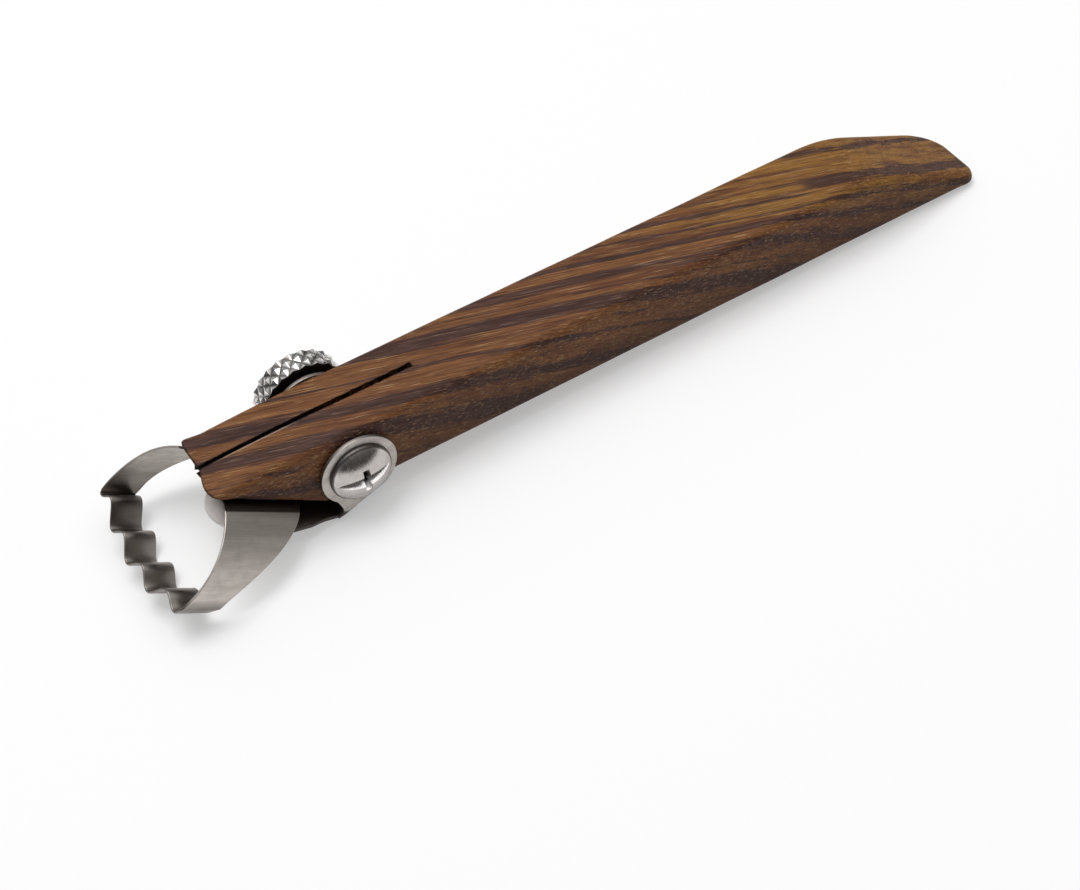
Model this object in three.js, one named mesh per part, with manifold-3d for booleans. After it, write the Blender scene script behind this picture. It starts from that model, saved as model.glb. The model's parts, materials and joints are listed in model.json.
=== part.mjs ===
// Handheld clay extruder: a corrugated steel loop clamped under the nose of a wooden handle.
// Millimetres. The tool frame has x towards the tail with 0 at the screw, y towards the nut with
// 0 on the middle plane, and z up with 0 on the top face of the handle.

import * as THREE from 'three';
import { mergeVertices } from 'three/addons/utils/BufferGeometryUtils.js';
import Module from 'manifold-3d';

const wasm = await Module();
wasm.setup();

// Handle
const handleWidth = 19.66;
const handleDepth = 17.3;
const edgeRadius = 2.2;
const noseReach = 29.5;
const noseWidth = 18.9;
const noseDrop = 0.6;
const noseDropStart = 7;
const noseTipThickness = 1.37;
const noseCornerRadius = 1.3;
const noseBevelAngle = THREE.MathUtils.degToRad(35.2);
const tailReach = 166.7;
const tailTipThickness = 2.4;
const tailCornerRadius = 5;
const tailBevelAngle = THREE.MathUtils.degToRad(24.3);
const tailBlend = 7;
const kerfWidth = 0.65;
const kerfReach = 19.8;

// Screw, washer and nut
const screwDepth = 10.03;
const screwRadius = 3;
const screwEnd = 18.9;
const screwEndChamfer = 0.6;
const headRadius = 7;
const headRimHeight = 0.75;
const headRimChamfer = 0.3;
const headDomeHeight = 2.8;
const slotWidth = 1.7;
const slotFloorWidth = 0.6;
const slotFloor = 1.5;
const crossSpan = 6.8;
const crossWidth = 1.7;
const crossFloorSpan = 2.2;
const crossFloorWidth = 1;
const crossDepth = 2.8;
const washerRadius = 6;
const washerThickness = 0.7;
const nutRadius = 10.33;
const nutThickness = 5.6;
const nutEndStep = 0.3;
const knurlDepth = 0.75;
const knurlsAround = 22;
const knurlRows = 3;

// Saddle
const saddleSheet = 0.8;
const earRadius = 8.72;
const earGap = 0.65;
const earFoldRadius = 0.5;
const neckFront = 7.85;
const neckDrop = 6.3;
const neckFlare = 1.1;
const undersideGap = 1.18;
const rearSectionEnd = 2;
const saddleKinkRadius = 0.6;
const frontLength = 25.8;
const frontRootWidth = 21.4;
const frontWidth = 23.4;
const frontShoulder = 10.5;
const tongueWidth = 15.7;
const tongueShoulder = 14.8;
const saddleOpenAngle = THREE.MathUtils.degToRad(19.5);

// Blade
const bladeSheet = 0.5;
const tailFrontEdge = 2;
const tailRearEdge = 20.5;
const tailFlatHalf = 8.4;
const tailLap = 7.5;
const tailEndLength = 6;
const loopHalfWidth = 19.45;
const armDrop = 17.6;
const armLength = 23.2;
const armFrontStart = 0.56;
const armRearStart = -0.2;
const armRearFinish = -0.5;
const cornerRearEdge = 3.4;
const cornerTaper = 3.5;
const bandFrontEdge = -5.8;
const bandRearEdge = 1.7;
const cornerDrop = 19.6;
const waveDepth = 23.9;
const waveHeight = 3.3;
const wavePitch = 9.3;
const waveSkew = 0.4;
const waveShift = 2.3;
const wavesAcross = 4;
const waveBow = 4.8;
const waveCentre = -0.5;

// Clearances
const runClearance = 0.08;
const seatGap = 0.12;
const layGap = 0.3;

const tipX = -noseReach;
const bevelTopZ = -noseDrop - noseTipThickness;
const bevelEndX = tipX + (handleDepth + bevelTopZ) / Math.tan(noseBevelAngle);
const tailBevelX = tailReach - (handleDepth - tailTipThickness) / Math.tan(tailBevelAngle);
const earInner = handleWidth / 2 + earGap;
const earOuter = earInner + saddleSheet;
const boreRadius = screwRadius + runClearance;

const wood = new THREE.MeshStandardMaterial({ color: 0x6b4730, roughness: 0.62, metalness: 0 });
const brushedSteel = new THREE.MeshStandardMaterial({ color: 0xa79f98, roughness: 0.36, metalness: 1 });
const polishedSteel = new THREE.MeshStandardMaterial({ color: 0xbdb8b3, roughness: 0.2, metalness: 1 });

// Solids from closed surfaces
function signedVolume(points, faces) {
  let volume = 0;
  for (const [a, b, c] of faces) volume += points[a].dot(points[b].clone().cross(points[c])) / 6;
  return volume;
}

function solidOf(points, faces) {
  const outward = signedVolume(points, faces) > 0;
  const triVerts = new Uint32Array(faces.flatMap(([a, b, c]) => (outward ? [a, b, c] : [a, c, b])));
  const vertProperties = new Float32Array(points.flatMap((point) => point.toArray()));
  return new wasm.Manifold(new wasm.Mesh({ numProp: 3, vertProperties, triVerts }));
}

function solidOfGeometry(geometry, matrix = new THREE.Matrix4()) {
  const bare = geometry.clone().applyMatrix4(matrix);
  bare.deleteAttribute('normal');
  bare.deleteAttribute('uv');
  const merged = mergeVertices(bare, 1e-4);
  const position = merged.getAttribute('position');
  const points = Array.from({ length: position.count }, (_, i) => new THREE.Vector3().fromBufferAttribute(position, i));
  const index = merged.index.array;
  const faces = [];
  for (let i = 0; i < index.length; i += 3) {
    const face = [index[i], index[i + 1], index[i + 2]];
    if (new Set(face).size === 3) faces.push(face);
  }
  return solidOf(points, faces);
}

function geometryOf(solid) {
  const mesh = solid.getMesh();
  const geometry = new THREE.BufferGeometry();
  const count = mesh.vertProperties.length / mesh.numProp;
  const position = new Float32Array(count * 3);
  for (let i = 0; i < count; i += 1) {
    for (let axis = 0; axis < 3; axis += 1) {
      position[3 * i + axis] = mesh.vertProperties[mesh.numProp * i + axis];
    }
  }
  geometry.setAttribute('position', new THREE.BufferAttribute(position, 3));
  geometry.setIndex(Array.from(mesh.triVerts));
  geometry.computeVertexNormals();
  return geometry;
}

// Rings of equal length joined into a closed skin, with a flat cap on each end ring
function loft(rings) {
  const size = rings[0].length;
  const faces = [];
  for (let r = 0; r + 1 < rings.length; r += 1) {
    for (let i = 0; i < size; i += 1) {
      const a = r * size + i;
      const b = r * size + ((i + 1) % size);
      faces.push([a, b, b + size], [a, b + size, a + size]);
    }
  }
  const last = (rings.length - 1) * size;
  for (let i = 1; i + 1 < size; i += 1) {
    faces.push([0, i + 1, i], [last, last + i, last + i + 1]);
  }
  return solidOf(rings.flat(), faces);
}

// A shape drawn in x and z, standing across the tool from one y to another
function acrossTool(shape, fromY, toY, curveSegments = 12) {
  const geometry = new THREE.ExtrudeGeometry(shape, { depth: toY - fromY, bevelEnabled: false, curveSegments });
  const matrix = new THREE.Matrix4().makeBasis(
    new THREE.Vector3(1, 0, 0),
    new THREE.Vector3(0, 0, 1),
    new THREE.Vector3(0, -1, 0),
  ).setPosition(0, toY, 0);
  return solidOfGeometry(geometry, matrix);
}

function crossPin(radius, halfLength, segments = 40) {
  return solidOfGeometry(new THREE.CylinderGeometry(radius, radius, 2 * halfLength, segments));
}

function block(minimum, maximum) {
  const size = maximum.clone().sub(minimum);
  const centre = minimum.clone().add(maximum).multiplyScalar(0.5);
  return solidOfGeometry(
    new THREE.BoxGeometry(size.x, size.y, size.z),
    new THREE.Matrix4().setPosition(centre),
  );
}

function linspace(from, to, count) {
  return Array.from({ length: count }, (_, i) => from + ((to - from) * i) / (count - 1));
}

// Handle: sections lofted along the stick, with the nose bevel below and the tail bevel on top
function handleTop(x) {
  if (x < -noseDropStart) {
    return -noseDrop * ((-noseDropStart - x) / (noseReach - noseDropStart)) ** 2;
  }
  if (x < tailBevelX - tailBlend) return 0;
  if (x < tailBevelX + tailBlend) {
    return (-Math.tan(tailBevelAngle) * (x - tailBevelX + tailBlend) ** 2) / (4 * tailBlend);
  }
  return -Math.tan(tailBevelAngle) * (x - tailBevelX);
}

function handleBottom(x) {
  return Math.max(-handleDepth, bevelTopZ - (x - tipX) * Math.tan(noseBevelAngle));
}

function cornerInset(distance, radius) {
  const inside = Math.min(Math.max(distance, 0), radius);
  return radius - Math.sqrt(radius ** 2 - (radius - inside) ** 2);
}

function handleHalfWidth(x) {
  const along = Math.min((x - tipX) / noseReach, 1);
  const straight = (noseWidth + (handleWidth - noseWidth) * along) / 2;
  const noseInset = cornerInset(x - tipX, noseCornerRadius);
  const tailInset = cornerInset(tailReach - x, tailCornerRadius);
  return straight - noseInset - tailInset;
}

function handleSection(x) {
  const cornerSteps = 5;
  const top = handleTop(x);
  const bottom = handleBottom(x);
  const half = handleHalfWidth(x);
  const radius = Math.min(edgeRadius, 0.48 * (top - bottom));
  const corners = [
    [half - radius, top - radius, 0],
    [radius - half, top - radius, 1],
    [radius - half, bottom + radius, 2],
    [half - radius, bottom + radius, 3],
  ];
  return corners.flatMap(([y, z, quarter]) => Array.from({ length: cornerSteps + 1 }, (_, i) => {
    const angle = (Math.PI / 2) * (quarter + i / cornerSteps);
    return new THREE.Vector3(x, y + radius * Math.cos(angle), z + radius * Math.sin(angle));
  }));
}

function handleStations() {
  const quarter = linspace(0, Math.PI / 2, 6);
  const nose = quarter.map((angle) => tipX + noseCornerRadius * (1 - Math.cos(angle)));
  const tail = quarter.map((angle) => tailReach - tailCornerRadius * (1 - Math.cos(angle)));
  const bevel = linspace(tipX + noseCornerRadius, bevelEndX, 7);
  const shaft = [0, tailBevelX / 2];
  const blend = linspace(tailBevelX - tailBlend, tailBevelX + tailBlend, 7);
  const sorted = [...nose, ...bevel, ...shaft, ...blend, ...tail].sort((a, b) => a - b);
  return sorted.filter((x, i) => i === 0 || x - sorted[i - 1] > 0.02);
}

function makeHandle() {
  const margin = 2;
  const kerf = block(
    new THREE.Vector3(tipX - margin, -kerfWidth / 2, -handleDepth - margin),
    new THREE.Vector3(kerfReach, kerfWidth / 2, margin),
  );
  const bore = crossPin(boreRadius, handleWidth / 2 + margin).translate([0, 0, -screwDepth]);
  return loft(handleStations().map(handleSection)).subtract(kerf).subtract(bore);
}

// Saddle: drawn closed against the handle, about the screw axis, then swung open
const bevelForward = new THREE.Vector2(-Math.cos(noseBevelAngle), Math.sin(noseBevelAngle));
const bevelOutward = new THREE.Vector2(-Math.sin(noseBevelAngle), -Math.cos(noseBevelAngle));
const lappedTails = 2 * (layGap + bladeSheet);
const bevelDistance = new THREE.Vector2(tipX, bevelTopZ + screwDepth).dot(bevelOutward);
const rearOuterZ = screwDepth - handleDepth - undersideGap - saddleSheet;
const frontDistance = bevelDistance + lappedTails + saddleSheet;
const kink = new THREE.Vector2(
  (-rearOuterZ * Math.cos(noseBevelAngle) - frontDistance) / Math.sin(noseBevelAngle),
  rearOuterZ,
);

// The bent sheet seen from the side, with the bend at the kink as two arcs on one centre
function sheetProfile(rearX, frontReach) {
  const outerBend = saddleKinkRadius + saddleSheet;
  const tangent = outerBend * Math.tan(noseBevelAngle / 2);
  const centre = new THREE.Vector2(kink.x + tangent, kink.y + outerBend);
  const frontOuter = kink.clone().addScaledVector(bevelForward, frontReach);
  const frontInner = frontOuter.clone().addScaledVector(bevelOutward, -saddleSheet);
  const down = -Math.PI / 2;
  const turned = down - noseBevelAngle;
  const shape = new THREE.Shape();
  shape.moveTo(rearX, rearOuterZ + saddleSheet);
  shape.lineTo(centre.x, rearOuterZ + saddleSheet);
  shape.absarc(centre.x, centre.y, saddleKinkRadius, down, turned, true);
  shape.lineTo(frontInner.x, frontInner.y);
  shape.lineTo(frontOuter.x, frontOuter.y);
  shape.absarc(centre.x, centre.y, outerBend, turned, down, false);
  shape.lineTo(rearX, rearOuterZ);
  shape.closePath();
  return shape;
}

// Plan of the front section: a shouldered plate that narrows to the round tongue
function frontPlan() {
  const root = frontRootWidth / 2;
  const wide = frontWidth / 2;
  const tongue = tongueWidth / 2;
  const back = -3;
  const tongueCentre = frontLength - tongue;
  const shape = new THREE.Shape();
  shape.moveTo(back, -root);
  shape.lineTo(frontShoulder / 3, -root);
  shape.bezierCurveTo(frontShoulder / 1.7, -root, frontShoulder / 1.3, -wide, frontShoulder, -wide);
  shape.bezierCurveTo(frontShoulder + 2.4, -wide, tongueShoulder - 1.5, -tongue, tongueShoulder + 1, -tongue);
  shape.lineTo(tongueCentre, -tongue);
  shape.absarc(tongueCentre, 0, tongue, -Math.PI / 2, Math.PI / 2, false);
  shape.lineTo(tongueShoulder + 1, tongue);
  shape.bezierCurveTo(tongueShoulder - 1.5, tongue, frontShoulder + 2.4, wide, frontShoulder, wide);
  shape.bezierCurveTo(frontShoulder / 1.3, wide, frontShoulder / 1.7, root, frontShoulder / 3, root);
  shape.lineTo(back, root);
  shape.closePath();
  return shape;
}

function frontPlanPrism() {
  const reach = 4;
  const geometry = new THREE.ExtrudeGeometry(frontPlan(), { depth: 2 * reach, bevelEnabled: false, curveSegments: 20 });
  const along = new THREE.Vector3(bevelForward.x, 0, bevelForward.y);
  const outward = new THREE.Vector3(bevelOutward.x, 0, bevelOutward.y);
  const start = new THREE.Vector3(kink.x, 0, kink.y).addScaledVector(outward, -reach);
  const matrix = new THREE.Matrix4().makeBasis(along, new THREE.Vector3(0, 1, 0), outward).setPosition(start);
  return solidOfGeometry(geometry, matrix);
}

// Side outline of an ear: a ring round the screw, and a neck that flares into the front section
function earShape() {
  const neckTop = -Math.sqrt(earRadius ** 2 - neckFront ** 2);
  const startAngle = Math.atan2(neckTop, -neckFront);
  const flareEnd = kink.clone().addScaledVector(bevelForward, neckFlare).addScaledVector(bevelOutward, -saddleSheet);
  const outerEnd = flareEnd.clone().addScaledVector(bevelOutward, saddleSheet);
  const rearX = -0.1 * earRadius;
  const ringFoot = -0.42 * Math.PI;
  const shape = new THREE.Shape();
  shape.moveTo(-neckFront, neckTop);
  shape.lineTo(-neckFront, -neckDrop);
  shape.quadraticCurveTo(-neckFront - 0.1, -neckDrop - 1.6, flareEnd.x, flareEnd.y);
  shape.lineTo(outerEnd.x, outerEnd.y);
  shape.lineTo(kink.x, kink.y);
  shape.lineTo(rearX, rearOuterZ);
  shape.lineTo(earRadius * Math.cos(ringFoot), earRadius * Math.sin(ringFoot));
  shape.absarc(0, 0, earRadius, ringFoot, startAngle + 2 * Math.PI, false);
  shape.closePath();
  return shape;
}

// Channel section with rounded folds, seen along the tool
function channelRing(inset, foldRadius, x, height) {
  const half = earOuter - inset;
  const floor = rearOuterZ + inset;
  const steps = 5;
  const arc = linspace(0, Math.PI / 2, steps + 1);
  const right = arc.map((angle) => new THREE.Vector3(
    x,
    half - foldRadius + foldRadius * Math.cos(angle),
    floor + foldRadius - foldRadius * Math.sin(angle),
  ));
  const left = right.map((point) => new THREE.Vector3(x, -point.y, point.z)).reverse();
  return [new THREE.Vector3(x, half, height), ...right, ...left, new THREE.Vector3(x, -half, height)];
}

function channel() {
  const reach = 2 * earRadius;
  const outer = [-reach, reach].map((x) => channelRing(0, earFoldRadius + saddleSheet, x, reach));
  const inner = [-reach - 1, reach + 1].map((x) => channelRing(saddleSheet, earFoldRadius, x, reach + 1));
  return loft(outer).subtract(loft(inner));
}

function makeSaddle() {
  const margin = 1;
  const ears = channel().intersect(acrossTool(earShape(), -earOuter - margin, earOuter + margin, 40));
  const foldInner = earInner - earFoldRadius;
  const window = block(
    new THREE.Vector3(-rearSectionEnd, -foldInner, rearOuterZ - margin),
    new THREE.Vector3(2 * earRadius, foldInner, rearOuterZ + 2 * saddleSheet),
  );
  const strip = acrossTool(sheetProfile(-rearSectionEnd, frontLength + margin), -earOuter, earOuter);
  const rearZone = block(
    new THREE.Vector3(kink.x, -foldInner - 0.1, rearOuterZ - margin),
    new THREE.Vector3(-rearSectionEnd, foldInner + 0.1, rearOuterZ + 2 * saddleSheet),
  );
  const sheet = strip.intersect(frontPlanPrism().add(rearZone));
  return ears.subtract(window).add(sheet).subtract(crossPin(boreRadius, earOuter + margin));
}

// Blade: a strip whose every straight line runs along the bevel. Its path is drawn across the
// tool in y and m, where m is the distance below the bevel, and its edges in b, along the bevel.
function waveMean(y) {
  return waveDepth - waveBow * ((y - waveCentre) / loopHalfWidth) ** 2;
}

function wavePoint(k) {
  const y = waveShift + wavePitch * k - waveSkew * k ** 2;
  return new THREE.Vector2(y, waveMean(y) + (waveHeight / 2) * Math.cos(2 * Math.PI * k));
}

function armPoints(side, tailDepth) {
  const curve = new THREE.CubicBezierCurve(
    new THREE.Vector2(side * tailFlatHalf, tailDepth),
    new THREE.Vector2(side * (tailFlatHalf + 6.6), tailDepth + 2.65),
    new THREE.Vector2(side * (loopHalfWidth + 0.15), armDrop - 8),
    new THREE.Vector2(side * loopHalfWidth, armDrop),
  );
  return curve.getPoints(22);
}

function bladePath() {
  const upper = layGap + bladeSheet / 2;
  const lower = upper + bladeSheet + layGap;
  const nearTail = linspace(tailLap, -tailFlatHalf, 20).slice(0, -1).map((y) => new THREE.Vector2(y, lower));
  const farTail = linspace(tailFlatHalf, -tailLap, 20).slice(1).map((y) => new THREE.Vector2(y, upper));
  const wave = linspace(-wavesAcross / 2, wavesAcross / 2, 24 * wavesAcross + 1).map(wavePoint);
  return [
    ...nearTail,
    ...armPoints(-1, lower),
    new THREE.Vector2(-loopHalfWidth + 0.1, cornerDrop),
    ...wave,
    new THREE.Vector2(loopHalfWidth - 0.1, cornerDrop),
    ...armPoints(1, upper).reverse(),
    ...farTail,
  ];
}

// Edges of an arm, at a share of its length from the start of the bend: the front one sweeps
// forward, and the rear one narrows in an S from the wide tail to the corner
function armEdges(share) {
  const forward = armFrontStart * share + (1 - armFrontStart) * share ** 2;
  const front = tailFrontEdge + (bandFrontEdge - tailFrontEdge) * forward;
  const fall = 1 - 3 * share ** 2 + 2 * share ** 3;
  const startBow = armRearStart * (share - 2 * share ** 2 + share ** 3);
  const finishBow = armRearFinish * (share ** 3 - share ** 2);
  const rear = cornerRearEdge + (tailRearEdge - cornerRearEdge) * (fall + startBow + finishBow);
  return [front, rear];
}

// Edges of the corrugated band, narrowing from a corner
function bandEdges(fromCorner) {
  const share = Math.min(fromCorner / cornerTaper, 1);
  return [bandFrontEdge, cornerRearEdge + (bandRearEdge - cornerRearEdge) * share];
}

// Edges of a tail: parallel, with a rounded end
function tailEdges(fromEnd) {
  const middle = (tailFrontEdge + tailRearEdge) / 2;
  const half = (tailRearEdge - tailFrontEdge) / 2;
  const along = Math.min(fromEnd / tailEndLength, 1);
  const share = 0.4 + 0.6 * Math.sqrt(1 - (1 - along) ** 2);
  return [middle - half * share, middle + half * share];
}

function bladeEdges(path) {
  const lengths = [0];
  for (let i = 1; i < path.length; i += 1) lengths.push(lengths[i - 1] + path[i].distanceTo(path[i - 1]));
  const total = lengths[lengths.length - 1];
  const tail = tailLap + tailFlatHalf;
  return lengths.map((length) => {
    const fromEnd = Math.min(length, total - length);
    const onArm = fromEnd - tail;
    if (onArm <= 0) return tailEdges(fromEnd);
    if (onArm >= armLength) return bandEdges(onArm - armLength);
    return armEdges(onArm / armLength);
  });
}

function bladePlace(b, y, m) {
  return new THREE.Vector3(
    tipX + b * Math.cos(noseBevelAngle) - m * Math.sin(noseBevelAngle),
    y,
    bevelTopZ - b * Math.sin(noseBevelAngle) - m * Math.cos(noseBevelAngle),
  );
}

function makeBlade() {
  const path = bladePath();
  const edges = bladeEdges(path);
  const rings = path.map((point, i) => {
    const before = path[Math.max(i - 1, 0)];
    const after = path[Math.min(i + 1, path.length - 1)];
    const along = after.clone().sub(before).normalize();
    const side = new THREE.Vector2(-along.y, along.x).multiplyScalar(bladeSheet / 2);
    const [front, rear] = edges[i];
    return [
      bladePlace(front, point.x + side.x, point.y + side.y),
      bladePlace(rear, point.x + side.x, point.y + side.y),
      bladePlace(rear, point.x - side.x, point.y - side.y),
      bladePlace(front, point.x - side.x, point.y - side.y),
    ];
  });
  return loft(rings);
}

// Screw: turned about y, with a slot and a cross pressed into the head
function turned(profile, segments) {
  return solidOfGeometry(new THREE.LatheGeometry(profile, segments));
}

function taperedBar(topSize, floorSize, topY, floorY) {
  return loft([[topY, topSize], [floorY, floorSize]].map(([y, [length, width]]) => [
    new THREE.Vector3(-length / 2, y, -width / 2),
    new THREE.Vector3(length / 2, y, -width / 2),
    new THREE.Vector3(length / 2, y, width / 2),
    new THREE.Vector3(-length / 2, y, width / 2),
  ]));
}

function makeClampScrew() {
  const seat = -earOuter - seatGap;
  const rim = seat - headRimHeight;
  const domeFoot = headRadius - headRimChamfer;
  const domeRadius = (domeFoot ** 2 + headDomeHeight ** 2) / (2 * headDomeHeight);
  const domeAngle = Math.asin(domeFoot / domeRadius);
  const domeStart = rim - headRimChamfer;
  const domeCentre = domeStart - headDomeHeight + domeRadius;
  const dome = linspace(0, domeAngle, 9).map((angle) => new THREE.Vector2(
    domeRadius * Math.sin(angle),
    domeCentre - domeRadius * Math.cos(angle),
  ));
  const profile = [
    ...dome,
    new THREE.Vector2(headRadius, rim),
    new THREE.Vector2(headRadius, seat),
    new THREE.Vector2(screwRadius, seat),
    new THREE.Vector2(screwRadius, screwEnd - screwEndChamfer),
    new THREE.Vector2(screwRadius - screwEndChamfer, screwEnd),
    new THREE.Vector2(0, screwEnd),
  ];
  const crown = domeStart - headDomeHeight;
  const above = crown - 1;
  const slotDepth = seat - slotFloor - crown;
  const slotTop = slotFloorWidth + ((slotWidth - slotFloorWidth) * (slotDepth + 1)) / slotDepth;
  const slotLength = 2 * headRadius + 2;
  const slot = taperedBar([slotLength, slotTop], [slotLength, slotFloorWidth], above, seat - slotFloor);
  const grow = (crossDepth + 1) / crossDepth;
  const topSpan = crossFloorSpan + (crossSpan - crossFloorSpan) * grow;
  const topWidth = crossFloorWidth + (crossWidth - crossFloorWidth) * grow;
  const top = [topSpan, topWidth];
  const floor = [crossFloorSpan, crossFloorWidth];
  const bar = taperedBar(top, floor, above, crown + crossDepth);
  const cross = bar.add(bar.rotate([0, 90, 0]));
  return turned(profile, 48).subtract(slot).subtract(cross);
}

const washerInner = earOuter + seatGap;
const nutInner = washerInner + washerThickness + seatGap;

function makeWasher() {
  const profile = [
    new THREE.Vector2(boreRadius, washerInner),
    new THREE.Vector2(washerRadius, washerInner),
    new THREE.Vector2(washerRadius, washerInner + washerThickness),
    new THREE.Vector2(boreRadius, washerInner + washerThickness),
    new THREE.Vector2(boreRadius, washerInner),
  ];
  return turned(profile, 40);
}

// Thumb nut: pyramids in staggered rows, high and low points alternating round and along the rim
function knurlRing(row, y) {
  const columns = 2 * knurlsAround;
  return Array.from({ length: columns }, (_, column) => {
    const high = (row + column) % 2 === 0;
    const radius = high ? nutRadius : nutRadius - knurlDepth;
    const angle = (2 * Math.PI * column) / columns;
    return new THREE.Vector3(radius * Math.cos(angle), y, radius * Math.sin(angle));
  });
}

function endRing(radius, y) {
  const columns = 2 * knurlsAround;
  return Array.from({ length: columns }, (_, column) => {
    const angle = (2 * Math.PI * column) / columns;
    return new THREE.Vector3(radius * Math.cos(angle), y, radius * Math.sin(angle));
  });
}

function makeThumbNut() {
  const foot = nutRadius - knurlDepth;
  const outerFace = nutInner + nutThickness;
  const rows = linspace(nutInner + nutEndStep, outerFace - nutEndStep, knurlRows + 1);
  const rings = [
    endRing(foot - nutEndStep, nutInner),
    ...rows.map((y, row) => knurlRing(row, y)),
    endRing(foot - nutEndStep, outerFace),
  ];
  const size = rings[0].length;
  const faces = [];
  for (let r = 0; r + 1 < rings.length; r += 1) {
    for (let i = 0; i < size; i += 1) {
      const next = (i + 1) % size;
      const corners = [r * size + i, r * size + next, (r + 1) * size + next, (r + 1) * size + i];
      const knurled = r >= 1 && r <= knurlRows;
      const firstHigh = (r - 1 + i) % 2 === 0;
      const [a, b, c, d] = knurled && firstHigh ? [1, 2, 3, 0].map((j) => corners[j]) : corners;
      faces.push([a, b, c], [a, c, d]);
    }
  }
  const last = (rings.length - 1) * size;
  for (let i = 1; i + 1 < size; i += 1) faces.push([0, i + 1, i], [last, last + i, last + i + 1]);
  return solidOf(rings.flat(), faces).subtract(crossPin(boreRadius, 2 * screwEnd));
}

function part(name, solid, material) {
  const mesh = new THREE.Mesh(geometryOf(solid), material);
  mesh.name = name;
  return mesh;
}

// Assembly in the tool frame
const tool = new THREE.Group();
tool.add(part('handle', makeHandle(), wood));
tool.add(part('blade', makeBlade(), brushedSteel));

const onScrewAxis = new THREE.Group();
onScrewAxis.position.z = -screwDepth;
const saddle = part('saddle', makeSaddle(), brushedSteel);
saddle.rotation.y = -saddleOpenAngle;
onScrewAxis.add(saddle);
onScrewAxis.add(part('clamp_screw', makeClampScrew(), polishedSteel));
onScrewAxis.add(part('washer', makeWasher(), polishedSteel));
onScrewAxis.add(part('thumb_nut', makeThumbNut(), polishedSteel));
tool.add(onScrewAxis);

// The tool lies on the crests of its wave and the lower edge of its tail
const crest = bladePlace(bandRearEdge, 0, wavePoint(0).y + bladeSheet / 2);
const heel = new THREE.Vector3(tailReach, 0, -handleDepth);
tool.rotation.y = Math.atan2(heel.z - crest.z, heel.x - crest.x);

// The origin is the middle of the footprint, on the surface that the tool lies on
const extruder = new THREE.Group();
extruder.add(tool);
extruder.updateMatrixWorld(true);
const bounds = new THREE.Box3().setFromObject(extruder, true);
const middle = bounds.getCenter(new THREE.Vector3());
tool.position.set(-middle.x, -middle.y, -bounds.min.z);

export default extruder;
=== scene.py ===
import json
import math

import bmesh
import bpy
from mathutils import Matrix, Vector, noise


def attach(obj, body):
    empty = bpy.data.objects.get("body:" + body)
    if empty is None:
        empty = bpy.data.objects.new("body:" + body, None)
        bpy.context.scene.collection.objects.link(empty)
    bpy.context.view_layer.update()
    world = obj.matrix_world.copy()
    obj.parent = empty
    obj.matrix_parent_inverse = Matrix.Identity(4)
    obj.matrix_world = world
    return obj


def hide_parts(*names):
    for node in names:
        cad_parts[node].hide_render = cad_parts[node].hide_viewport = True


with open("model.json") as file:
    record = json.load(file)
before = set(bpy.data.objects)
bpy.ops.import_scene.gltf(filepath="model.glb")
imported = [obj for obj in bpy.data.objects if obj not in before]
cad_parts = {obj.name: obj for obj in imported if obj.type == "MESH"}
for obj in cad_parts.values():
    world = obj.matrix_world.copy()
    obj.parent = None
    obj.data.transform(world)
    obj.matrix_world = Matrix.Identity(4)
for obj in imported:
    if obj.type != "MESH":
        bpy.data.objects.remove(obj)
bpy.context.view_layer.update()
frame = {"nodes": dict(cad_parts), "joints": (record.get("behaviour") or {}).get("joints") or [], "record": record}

# The pieces are drawn in the tool frame, in millimetres: x towards the tail with 0 at the screw,
# y towards the nut, z up with 0 on the top face of the handle.
MM = 0.001
SCREW_DEPTH = 10.03
WELD = 1e-7

# Handle
HANDLE_WIDTH = 19.66
HANDLE_DEPTH = 17.3
EDGE_RADIUS = 2.2
EDGE_WEAR = 0.25
EDGE_SHARE = 0.48
EDGE_STEPS = 8
FACE_STEPS = 14
STATION_GAP = 0.004
ROUND_STATIONS = 10
NOSE_STATIONS = 14
STICK_STATIONS = 90
CUT_OVER = 2
TIP_X = -29.5
NOSE_WIDTH = 18.9
NOSE_DROP = 0.6
NOSE_DROP_START = 7.0
NOSE_TIP = 1.37
NOSE_CORNER = 1.3
NOSE_BULGE = 1.45
NOSE_BLEND = 9.0
NOSE_RAG = 0.12
NOSE_RISE = 0.55
BULGE_SKEW = 1.25
BULGE_SPAN = 1.15
BEVEL = math.radians(35.2)
TAIL_X = 166.7
TAIL_TIP = 2.4
TAIL_CORNER_NEAR = 3.4
TAIL_CORNER_FAR = 8.0
TAIL_BEVEL = math.radians(24.3)
TAIL_BLEND = 7.0
END_ROUND = 0.4
END_SIDE = 0.4
BEVEL_TOP_Z = -NOSE_DROP - NOSE_TIP
TAIL_BEVEL_X = TAIL_X - (HANDLE_DEPTH - TAIL_TIP) / math.tan(TAIL_BEVEL)

# Saw kerf
KERF_START = TIP_X - 1.5
KERF_END = 19.8
KERF_STATIONS = 170
KERF_MIDDLE = 0.1
KERF_HALF = 0.47
KERF_WIDEN = 0.18
KERF_WIDEN_X = (-16, 6)
KERF_RAG = 0.14
KERF_RAG_X = (-4, 9)
KERF_BOW = 0.1
KERF_BOW_X = -9
KERF_BOW_REACH = 9

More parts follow.
